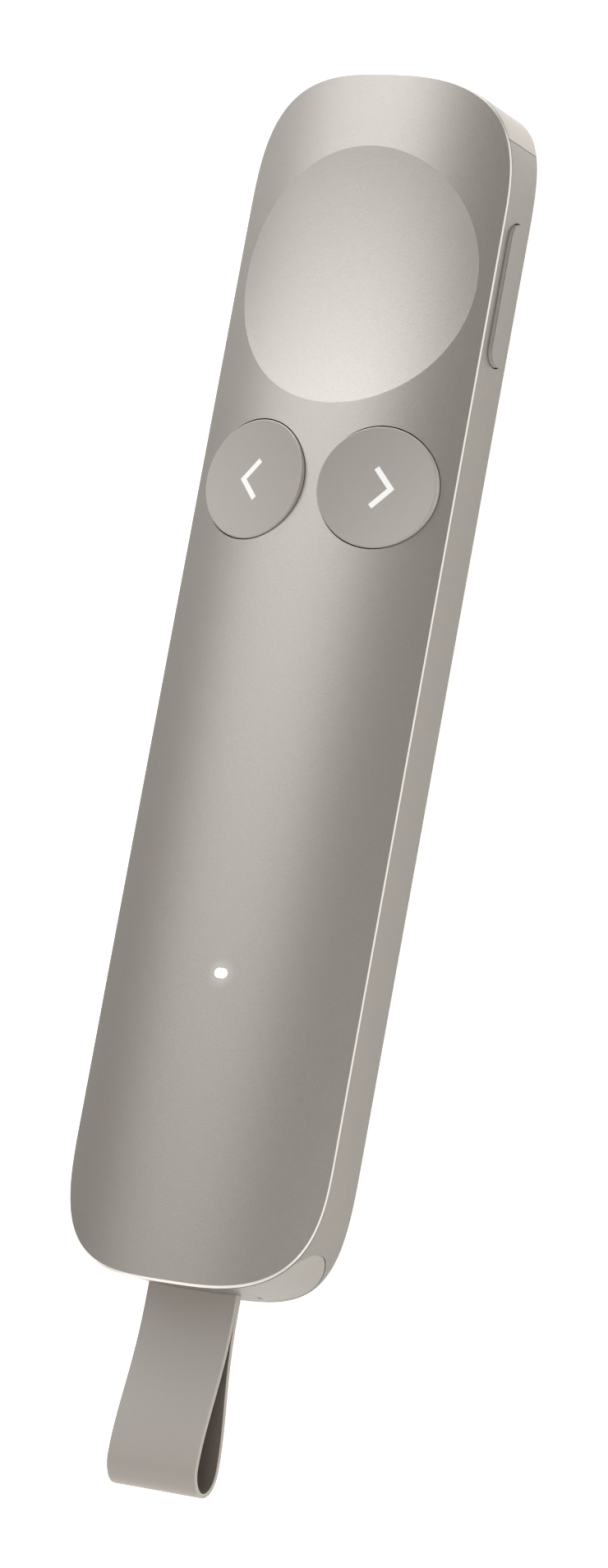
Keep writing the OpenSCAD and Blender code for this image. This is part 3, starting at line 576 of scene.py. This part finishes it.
def repaint(obj, slot):
    """Gives the whole object one finish."""
    obj.data.materials.clear()
    obj.data.materials.append(FINISH[slot])
    obj.data.polygons.foreach_set("material_index", [0] * len(obj.data.polygons))
    return obj


def dress(obj, body, slot, *nodes):
    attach(obj, body)
    if nodes:
        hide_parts(*nodes)
    return obj


# Housing, end cap and receiver, which are cut from one block
def outer_block():
    rings = []
    for k in range(EDGE_STEPS + 1):
        angle = math.radians(90 - 90 / EDGE_STEPS * k)
        inset, lift = EDGE * (1 - math.cos(angle)), EDGE * (1 - math.sin(angle))
        rings.append(ring(inset, lambda x, lift=lift: back_z(x) + lift))
    rings += [ring(0, RIM_DOWN), ring(RIM, RIM_DOWN)]
    return stack("outer", rings, (EDGE, back_z), (RIM, under_crown(BLOCK_DOWN)), BLOCK_STEP)


def cavity(down, wall, floor):
    """A tool for the inside, with its shoulder this far down from the crown."""
    rings = [ring(wall, over_back(floor)), ring(wall, under_crown(down)), ring(RIM, under_crown(down)),
             ring(RIM, OVER)]
    return stack("cavity", rings, (wall, over_back(floor)), (RIM, OVER), TOOL_STEP)


def step_tool(down):
    """A tool for the step that carries the front shell."""
    rings = [ring(RIM, under_crown(down)), ring(RIM, OVER)]
    return stack("step", rings, (RIM, under_crown(down)), (RIM, OVER), TOOL_STEP)


def housing_skin(block, hollow):
    skin = boolean(copy_of(block, "housing_skin"), slab(-FAR, CAP_Y - HAIR), "INTERSECT")
    boolean(skin, boolean(copy_of(hollow, "cut"), slab(BAY_Y + WALL, FAR), "INTERSECT"))
    boolean(skin, step_tool(STEP_DOWN))
    boolean(skin, prism(bay_outline(BAY_LINE), "y", -FAR, BAY_Y))
    socket = pill_outline(0, SOCKET_Z, SOCKET_W, SOCKET_H)
    boolean(skin, prism(socket, "y", BAY_Y - INTO_AIR, BAY_Y + SOCKET_DEEP))
    opening = pill_outline(SIDE_Y, SIDE_Z, SIDE_LONG + SIDE_OPEN, SIDE_TALL + SIDE_OPEN)
    boolean(skin, prism(opening, "x", *SIDE_CUT))
    return repaint(skin, "housing_satin")


def cap_skin(block, hollow):
    skin = boolean(copy_of(block, "cap_skin"), slab(CAP_Y + HAIR, FAR), "INTERSECT")
    return repaint(boolean(skin, copy_of(hollow, "cut")), "cap_plastic")


def cap_tongue():
    """The ring inside the cap that reaches into the housing."""
    low, high = over_back(TONGUE_IN), under_crown(TONGUE_DOWN)
    rings = [ring(TONGUE_IN, low), ring(TONGUE_IN, high)]
    tongue = stack("cap_tongue", rings, (TONGUE_IN, low), (TONGUE_IN, high), TOOL_STEP)
    boolean(tongue, cavity(STEP_DOWN, TONGUE_HOLLOW, TONGUE_HOLLOW))
    boolean(tongue, slab(CAP_Y - TONGUE_HALF, CAP_Y + TONGUE_HALF), "INTERSECT")
    return repaint(tongue, "cap_plastic")


def mouth_outline(gap):
    return rounded_outline(0, MOUTH_Z, MOUTH_W - 2 * gap, MOUTH_H - 2 * gap, MOUTH_R - gap)


def dot_outline(side, gap):
    return rounded_outline(side * DOT_X, DOT_Z, DOT_W - 2 * gap, DOT_H - 2 * gap, DOT_R - gap)


def receiver_skin(block):
    """The receiver, without its mouth, made of the block itself once the others have their copies."""
    skin = boolean(block, prism(bay_outline(0), "y", -FAR, RECEIVER_Y), "INTERSECT")
    skin.name = "receiver_skin"
    boolean(skin, step_tool(STEP_DOWN + BAY_GAP))
    base = rounded_outline(0, BASE_Z, BASE_W, BASE_H, BASE_R, BASE_COUNT)
    boolean(skin, prism(base, "y", RECEIVER_Y - BASE_DEEP, RECEIVER_Y + INTO_AIR))
    return skin


def receiver_pieces(block):
    """The receiver's housing, and the flush insert that leaves a slot for the strap."""
    skin = receiver_skin(block)
    insert = boolean(copy_of(skin, "mouth_insert"), prism(mouth_outline(INSERT_GAP), "y", -FAR, INSERT_Y),
                     "INTERSECT")
    boolean(skin, prism(mouth_outline(0), "y", -FAR, MOUTH_DEEP - HALF_L))
    slot = rounded_outline(0, STRAP_Z, STRAP_W + SLOT_PLAY, SLOT_H, SLOT_R)
    boolean(insert, prism(slot, "y", -FAR, SLOT_Y))
    for piece in (insert, skin):
        for side in (-1, 1):
            boolean(piece, prism(dot_outline(side, 0), "y", -FAR, INSERT_Y))
    return repaint(skin, "receiver_satin"), repaint(insert, "receiver_satin")


# A black plug in the small hole at one end of the mouth, as painted shade
def mouth_shade_plug(name, side):
    return prism(dot_outline(side, DOT_GAP), "y", *DOT_Y, name, [FINISH["seal_black"]])


block = outer_block()
hollow = cavity(STEP_DOWN, WALL, WALL)
dress(housing_skin(block, hollow), "body", "housing_satin", "rear_housing")
dress(cap_skin(block, hollow), "body", "cap_plastic", "top_cap")
dress(cap_tongue(), "body", "cap_plastic")
receiver, insert = receiver_pieces(block)
dress(insert, "receiver", "receiver_satin")
dress(mouth_shade_plug("mouth_gap_left", -1), "receiver", "seal_black")
dress(mouth_shade_plug("mouth_gap_right", 1), "receiver", "seal_black")
dress(receiver, "receiver", "receiver_satin", "receiver_housing")
bpy.data.objects.remove(hollow)


# Seal in the seam
def seal_ring():
    shape = Shape()
    top, bottom = LIP_DOWN + SEAL_GAP, RIM_DOWN - SEAL_GAP
    corners = ((SEAL_IN, bottom), (SEAL_IN, top), (RIM, top), (RIM, bottom))
    rows = [shape.add(ring(inset, down)) for inset, down in corners]
    for k in range(len(rows)):
        shape.bridge(rows[k], rows[(k + 1) % len(rows)])
    return build("seal_ring", shape, [FINISH["seal_black"]])


dress(seal_ring(), "body", "seal_black", "edge_seal")


# Front shell
def dish_rim(count=240, halvings=40):
    """The closed line where the dish meets the crown."""
    rim = []
    for k in range(count):
        angle = 2 * math.pi * k / count
        cos, sin = math.cos(angle), math.sin(angle)
        low, high = DISH_R - RIM_SEARCH, DISH_R + RIM_SEARCH
        for _ in range(halvings):
            r = (low + high) / 2
            x, y = r * cos, DISH_Y + r * sin
            if dish_z(x, y) < crown_z(x):
                low = r
            else:
                high = r
        rim.append((low * cos, DISH_Y + low * sin))
    return np.array(rim)


def front_skin():
    """The crowned sheet with its dish, round openings, light window, chamfer and lip."""
    outer, rim = plan(CUT_IN), dish_rim()
    holes = [circle(side * BUTTON_X, BUTTON_Y, BUTTON_R + GAP, OPENING_COUNT) for side in (-1, 1)]
    holes.append(np.array(pill_outline(0, LED_Y, LED_W, LED_H, WINDOW_COUNT)))
    loops = [outer, rim, *holes]
    points = grid_points(loops, SKIN_STEP, SKIN_CLEAR)
    points = points[inside(points, plan(LIP_IN + LIP_CLEAR))]
    xy, triangles, origins = triangulate(loops, points)
    starts = np.cumsum([0] + [len(loop) for loop in loops])
    index = {v: i for i, origin in enumerate(origins) for v in origin if v < starts[-1]}

    def loop_ids(k):
        return [index[v] for v in range(starts[k], starts[k + 1])]

    on_dish = inside(xy, rim)
    top_z = np.where(on_dish, dish_z(xy[:, 0], xy[:, 1]), crown_z(xy[:, 0]))
    on_rim = loop_ids(1)
    top_z[on_rim] = crown_z(xy[on_rim, 0])
    low_xy = xy.copy()
    low_xy[loop_ids(0)] = plan(LIP_IN)
    low_z = np.where(on_dish, dish_z(low_xy[:, 0], low_xy[:, 1]) - SHEET, crown_z(low_xy[:, 0], SHEET))
    shape = Shape()
    top = shape.add(np.column_stack([xy, top_z]))
    low = shape.add(np.column_stack([low_xy, low_z]))
    metal, polished, painted_shade = range(3)
    centres = centres_of(xy, triangles)
    keep = inside(centres, outer)
    for hole in holes:
        keep &= ~inside(centres, hole)
    for triangle, kept, dished in zip(triangles, keep, inside(centres, rim)):
        if kept:
            face = facing_up(triangle, xy)
            shape.face([top[v] for v in face], "dish" if dished else "crown", metal)
            shape.face([low[v] for v in face][::-1], "underside", metal)
    rows = [[top[i] for i in loop_ids(0)]]
    rows += [shape.add(edge) for edge in (ring(0, CUT_DOWN), ring(0, LIP_DOWN), ring(LIP_IN, LIP_DOWN))]
    rows.append([low[i] for i in loop_ids(0)])
    edge = (("chamfer", polished), ("lip", polished), ("lip underside", metal), ("step", metal))
    for k, (part, finish) in enumerate(edge):
        shape.bridge(rows[k + 1], rows[k], part, finish)
    # The walls of the round openings are black, as painted shade in the gaps round the buttons
    for k, part, finish in ((2, "opening", painted_shade), (3, "opening", painted_shade), (4, "window", metal)):
        shape.bridge([top[i] for i in loop_ids(k)], [low[i] for i in loop_ids(k)], part, finish)
    shape.drop_unused()
    return build("front_skin", shape, [FINISH["shell_aluminium"], POLISHED, FINISH["seal_black"]])


dress(front_skin(), "body", "shell_aluminium", "front_shell")


# Round buttons and their marks
TILT = math.asin(BUTTON_X / CROWN_R)
FACE_Z = float(crown_z(BUTTON_X)) + FACE_OVER


def chevron(side, steps=8):
    """The mark's outline on the tilted face, with every edge in short steps."""
    arm = math.hypot(MARK_TIP + MARK_BACK, MARK_RISE)
    nx, ny = MARK_RISE / arm * MARK_STROKE / 2, (MARK_TIP + MARK_BACK) / arm * MARK_STROKE / 2
    point = MARK_STROKE / 2 * arm / MARK_RISE
    corners = [(MARK_TIP + point, 0), (nx - MARK_BACK, MARK_RISE + ny), (-nx - MARK_BACK, MARK_RISE - ny),
               (MARK_TIP - point, 0), (-nx - MARK_BACK, ny - MARK_RISE), (nx - MARK_BACK, -MARK_RISE - ny)]
    loop = np.array([(side * (BUTTON_X + x * math.cos(TILT)), BUTTON_Y + y) for x, y in corners[::side]])
    after = np.roll(loop, -1, axis=0)
    return np.concatenate([np.linspace(p, q, steps + 1)[:-1] for p, q in zip(loop, after)])


def button_face(side):
    """Height of a round button's face, which is tilted and very slightly dished."""
    def height(x, y):
        reach = ((x - side * BUTTON_X) ** 2 + (y - BUTTON_Y) ** 2) / SEEN_R**2
        return FACE_Z - math.tan(TILT) * (side * x - BUTTON_X) - FACE_SAG * max(0.0, 1 - reach)
    return height


def round_button(name, side, count=180):
    height = button_face(side)
    shape = Shape()
    rows = []
    for inset, drop in rounded_edge(ROUND_EDGE, BUTTON_DEEP):
        edge = circle(side * BUTTON_X, BUTTON_Y, SEEN_R - inset, count)
        rows.append(shape.add([(x, y, height(x, y) + drop) for x, y in edge]))
    for k in range(len(rows) - 2):
        shape.bridge(rows[k + 1], rows[k], "face")
    shape.bridge(rows[-1], rows[-2], "flank", finish=1)
    shape.face(rows[-1][::-1], "underside")
    mark = chevron(side)
    flat = circle(side * BUTTON_X, BUTTON_Y, SEEN_R - ROUND_EDGE - FLAT_RING, count)
    points = grid_points([flat, mark], FACE_STEP, FACE_CLEAR)
    points = points[~inside(points, mark)]
    loops = fill_between(shape, [flat, mark], points, height, dict(enumerate(rows[0])))
    low = shape.add([(x, y, height(x, y) - MARK_DEEP) for x, y in mark])
    shape.bridge(loops[1], low, "mark side")
    shape.face(low, "mark floor")
    return build(name, shape, [FINISH["button_satin"], LIT_FLANK], SHARP_BUTTON)


def mark_inlay(name, side):
    height = button_face(side)
    shape = Shape()
    mark = chevron(side)
    top = fill_between(shape, [mark], np.zeros((0, 2)), lambda x, y: height(x, y) - MARK_DROP, {})[0]
    low = shape.add([(x, y, height(x, y) - MARK_DEEP + MARK_FLOOR) for x, y in mark])
    shape.bridge(low, top)
    shape.face(low[::-1], "underside")
    return build(name, shape, [FINISH["icon_white"]])


dress(round_button("prev_cap", -1), "prev", "button_satin", "prev_button")
dress(round_button("next_cap", 1), "next", "button_satin", "next_button")
dress(mark_inlay("prev_mark", -1), "prev", "icon_white", "prev_icon")
dress(mark_inlay("next_mark", 1), "next", "icon_white", "next_icon")


# Side button
def side_cap():
    shape = Shape()
    rows = []
    for inset, drop in rounded_edge(SIDE_EDGE, SIDE_DEEP):
        pill = pill_outline(SIDE_Y, SIDE_Z, SIDE_LONG - 2 * inset, SIDE_TALL - 2 * inset)
        rows.append(shape.add([(HALF_W + SIDE_PROUD + drop, y, z) for y, z in pill]))
    for k in range(len(rows) - 2):
        shape.bridge(rows[k + 1], rows[k], "face")
    shape.bridge(rows[-1], rows[-2], "flank", finish=1)
    shape.face(rows[0], "face")
    shape.face(rows[-1][::-1], "underside")
    return build("side_cap", shape, [FINISH["side_satin"], LIT_FLANK], SHARP_BUTTON)


dress(side_cap(), "side", "side_satin", "side_button")

# Strap: half of the eye round the pin, as steps into the body and up from the middle
EYE_LINE = [(3.5, 0.0), (3.44, 0.33), (3.12, 0.74), (2.6, 0.9), (2.15, 0.74), (1.8, 0.46), (1.45, 0.28),
            (0.9, 0.25), (0.0, 0.25)]
SPREAD_POWER, LEG_STEPS, FOLD_STEPS = 1.5, 60, 32


def strap_line():
    """Centre line of the band in Y and Z, from the pin's eye round the loop and back."""
    leg = STRAP_REACH - FOLD
    points = [(-HALF_L + y, z) for y, z in EYE_LINE]
    for i in range(1, LEG_STEPS + 1):
        share = i / LEG_STEPS
        spread = LOOP / 2 * (3 * share * share - 2 * share**3) ** SPREAD_POWER
        points.append((-HALF_L - share * leg, spread + STRAP_T / 2))
    for i in range(1, FOLD_STEPS + 1):
        angle = math.radians(90 * i / FOLD_STEPS)
        y = -HALF_L - leg - (FOLD - STRAP_T / 2) * math.sin(angle)
        points.append((y, (LOOP + STRAP_T) / 2 * math.cos(angle)))
    back = [(y, -z) for y, z in points[-2:0:-1]]
    return np.array(points + back)


def strap_section():
    """The band's section, grooved along its cut edges, with the part each point starts."""
    w, t = STRAP_W / 2, STRAP_T / 2
    half = [(w - STRAP_ROUND, t), (w - STRAP_BEVEL, t - STRAP_BEVEL), (w, t - STRAP_ROUND),
            (w, GROOVE_HALF), (w - GROOVE_DEEP, 0.0), (w, -GROOVE_HALF), (w, STRAP_ROUND - t),
            (w - STRAP_BEVEL, STRAP_BEVEL - t), (w - STRAP_ROUND, -t)]
    edge = ["edge"] * (len(half) - 1)
    return half + [(-x, -z) for x, z in half], edge + ["band"] + edge + ["inside"]


def strap_piece():
    line = strap_line()
    tangent = np.roll(line, -1, 0) - np.roll(line, 1, 0)
    tangent /= np.linalg.norm(tangent, axis=1)[:, None]
    normal = np.column_stack([-tangent[:, 1], tangent[:, 0]])
    section, parts = strap_section()
    # The inner face takes the finish with painted shade
    finishes = ("band", "edge", "inside")
    shape = Shape()
    rows = []
    for (y, z), (ny, nz) in zip(line, normal):
        rows.append(shape.add([(x, y + h * ny, STRAP_Z + z + h * nz) for x, h in section]))
    for row, after in zip(rows, rows[1:] + rows[:1]):
        for i, part in enumerate(parts):
            j = (i + 1) % len(parts)
            shape.face((row[i], row[j], after[j], after[i]), part, finishes.index(part))
    return build("strap_band", shape, [FINISH["strap_band"], STRAP_EDGE, STRAP_INSIDE_SHADE], SHARP_STRAP)


dress(strap_piece(), "receiver", "strap_band", "strap")

# Floor, in metres
FLOOR, FLOOR_Z = 3.0, -0.00005
floor_mesh = bpy.data.meshes.new("floor")
corners = [(x * FLOOR, y * FLOOR, FLOOR_Z) for x, y in ((-1, -1), (1, -1), (1, 1), (-1, 1))]
floor_mesh.from_pydata(corners, [], [(0, 1, 2, 3)])
floor = bpy.data.objects.new("floor", floor_mesh)
bpy.context.scene.collection.objects.link(floor)
floor_mesh.materials.append(material("floor_pale", srgb(250, 250, 249), rough=0.9, vary=0.005, grain=40,
                                     bump=0.0, specular=0.1, glow=0.7))

# Light from all round
WORLD_COLOUR, WORLD_STRENGTH = (1.0, 0.952, 0.9, 1.0), 0.249
world = bpy.context.scene.world or bpy.data.worlds.new("studio")
bpy.context.scene.world = world
world.use_nodes = True
backdrop = world.node_tree.nodes.get("Background")
backdrop.inputs["Color"].default_value = WORLD_COLOUR
backdrop.inputs["Strength"].default_value = WORLD_STRENGTH

# Softboxes: degrees from +Z towards +X and towards +Y, width and height in metres, then radiance
# and colour, which were set by comparing the shading with that in the photo
WHITE = (1.0, 1.0, 1.0)
SOFTBOXES = {
    "key_high": (-42, 45, 1.0, 0.75, 1.53, (0.948, 1.0, 1.049)),
    "key_low": (-32, 8, 0.75, 0.5, 0.4, (0.945, 1.0, 1.022)),
    "key_front": (-32, 14, 0.75, 0.3, 0.667, (0.962, 1.0, 1.04)),
    "key_middle": (-32, 24, 0.75, 0.3, 0.46, (0.96, 1.0, 1.065)),
    "key_inner": (-20, 30, 0.5, 0.4, 0.434, (0.952, 1.0, 1.0)),
    "key_outer": (-55, 20, 0.4, 0.6, 0.143, (0.965, 1.0, 1.007)),
    "key_back": (-42, 62, 1.0, 0.4, 1.3, (0.996, 1.0, 1.015)),
    "left": (-82, 40, 0.4, 0.8, 0.724, (0.965, 1.0, 1.029)),
    "fill": (28, -24, 0.7, 0.45, 2.01, (0.932, 1.0, 1.028)),
    "right": (63, 5, 0.5, 1.4, 1.0, WHITE),
    "end": (-19, -49, 1.8, 0.6, 1.25, WHITE),
    "top": (15, 76, 1.2, 0.5, 1.0, WHITE),
}


def softbox(name, theta, phi, width, height, radiance, colour):
    """A softbox one metre away that faces the part, with the power that its radiance takes."""
    across, up = math.radians(theta), math.radians(phi)
    z = Vector((math.sin(across) * math.cos(up), math.sin(up), math.cos(across) * math.cos(up)))
    y = (Vector((0, 1, 0)) - z * z.y).normalized()
    data = bpy.data.lights.new(name, "AREA")
    data.shape = "RECTANGLE"
    data.size, data.size_y = width, height
    data.energy = math.pi * width * height * radiance
    data.color = colour
    obj = bpy.data.objects.new(name, data)
    bpy.context.scene.collection.objects.link(obj)
    obj.matrix_world = Matrix.Translation(z) @ Matrix((y.cross(z), y, z)).transposed().to_4x4()


for name, values in SOFTBOXES.items():
    softbox(name, *values)

# Camera, in metres and millimetres of film, solved from the outline in the photo
CAMERA_AT = (0.297101, -0.089845, 0.502945)
CAMERA_FORWARD = (-0.505888, 0.135132, -0.851949)
CAMERA_UP = (-0.087176, 0.974587, 0.20635)
FILM_HEIGHT, LENS, CLIP_START = 36.0, 126.346, 0.01
scene = bpy.context.scene
scene.view_settings.view_transform = "Standard"
scene.view_settings.look = "None"
camera_data = bpy.data.cameras.new("camera")
camera_data.sensor_fit = "VERTICAL"
camera_data.sensor_height = FILM_HEIGHT
camera_data.lens = LENS
camera_data.clip_start = CLIP_START
camera = bpy.data.objects.new("camera", camera_data)
scene.collection.objects.link(camera)
forward = Vector(CAMERA_FORWARD).normalized()
right = forward.cross(Vector(CAMERA_UP)).normalized()
up = right.cross(forward).normalized()
turn = Matrix((right, up, -forward)).transposed().to_4x4()
camera.matrix_world = Matrix.Translation(Vector(CAMERA_AT)) @ turn
scene.camera = camera

bpy.context.view_layer.update()
